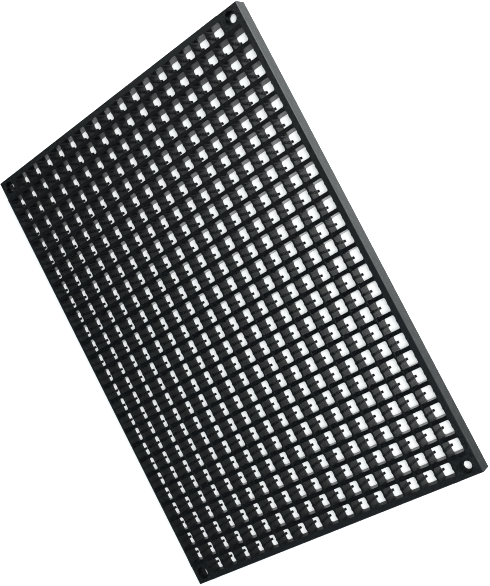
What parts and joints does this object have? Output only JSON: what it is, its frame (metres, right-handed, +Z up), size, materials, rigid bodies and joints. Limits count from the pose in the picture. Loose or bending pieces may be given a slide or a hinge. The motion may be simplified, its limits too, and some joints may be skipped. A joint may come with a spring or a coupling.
{
  "type": "door mat",
  "caption": "Flat open-grid door mat in black rubber, with deep square cells that let dirt and water fall through and a counterbored screw hole at each corner.",
  "frame": {"origin": "middle of the footprint, on the ground under the feet", "axes": "+X across the mat towards the wide edge, +Y along the mat, +Z up"},
  "size_m": [0.43, 0.6, 0.022],
  "materials": {
    "frame_rubber": "satin",
    "rib_rubber": "satin",
    "bar_rubber": "satin"
  },
  "bodies": {
    "root": {"side_rail_left": "frame_rubber", "side_rail_right": "frame_rubber", "end_rail_front": "frame_rubber", "end_rail_rear": "frame_rubber", "corner_block_front_left": "frame_rubber", "corner_block_front_right": "frame_rubber", "corner_block_rear_left": "frame_rubber", "corner_block_rear_right": "frame_rubber", "long_rib_01": "rib_rubber", "long_rib_02": "rib_rubber", "long_rib_03": "rib_rubber", "long_rib_04": "rib_rubber", "long_rib_05": "rib_rubber", "long_rib_06": "rib_rubber", "long_rib_07": "rib_rubber", "long_rib_08": "rib_rubber", "long_rib_09": "rib_rubber", "long_rib_10": "rib_rubber", "long_rib_11": "rib_rubber", "long_rib_12": "rib_rubber", "long_rib_13": "rib_rubber", "long_rib_14": "rib_rubber", "long_rib_15": "rib_rubber", "long_rib_16": "rib_rubber", "long_rib_17": "rib_rubber", "cross_bar_01": "bar_rubber", "cross_bar_02": "bar_rubber", "cross_bar_03": "bar_rubber", "cross_bar_04": "bar_rubber", "cross_bar_05": "bar_rubber", "cross_bar_06": "bar_rubber", "cross_bar_07": "bar_rubber", "cross_bar_08": "bar_rubber", "cross_bar_09": "bar_rubber", "cross_bar_10": "bar_rubber", "cross_bar_11": "bar_rubber", "cross_bar_12": "bar_rubber", "cross_bar_13": "bar_rubber", "cross_bar_14": "bar_rubber", "cross_bar_15": "bar_rubber", "cross_bar_16": "bar_rubber", "cross_bar_17": "bar_rubber", "cross_bar_18": "bar_rubber", "cross_bar_19": "bar_rubber", "cross_bar_20": "bar_rubber", "cross_bar_21": "bar_rubber", "cross_bar_22": "bar_rubber", "cross_bar_23": "bar_rubber", "cross_bar_24": "bar_rubber", "cross_bar_25": "bar_rubber", "cross_bar_26": "bar_rubber"}
  },
  "joints": []
}
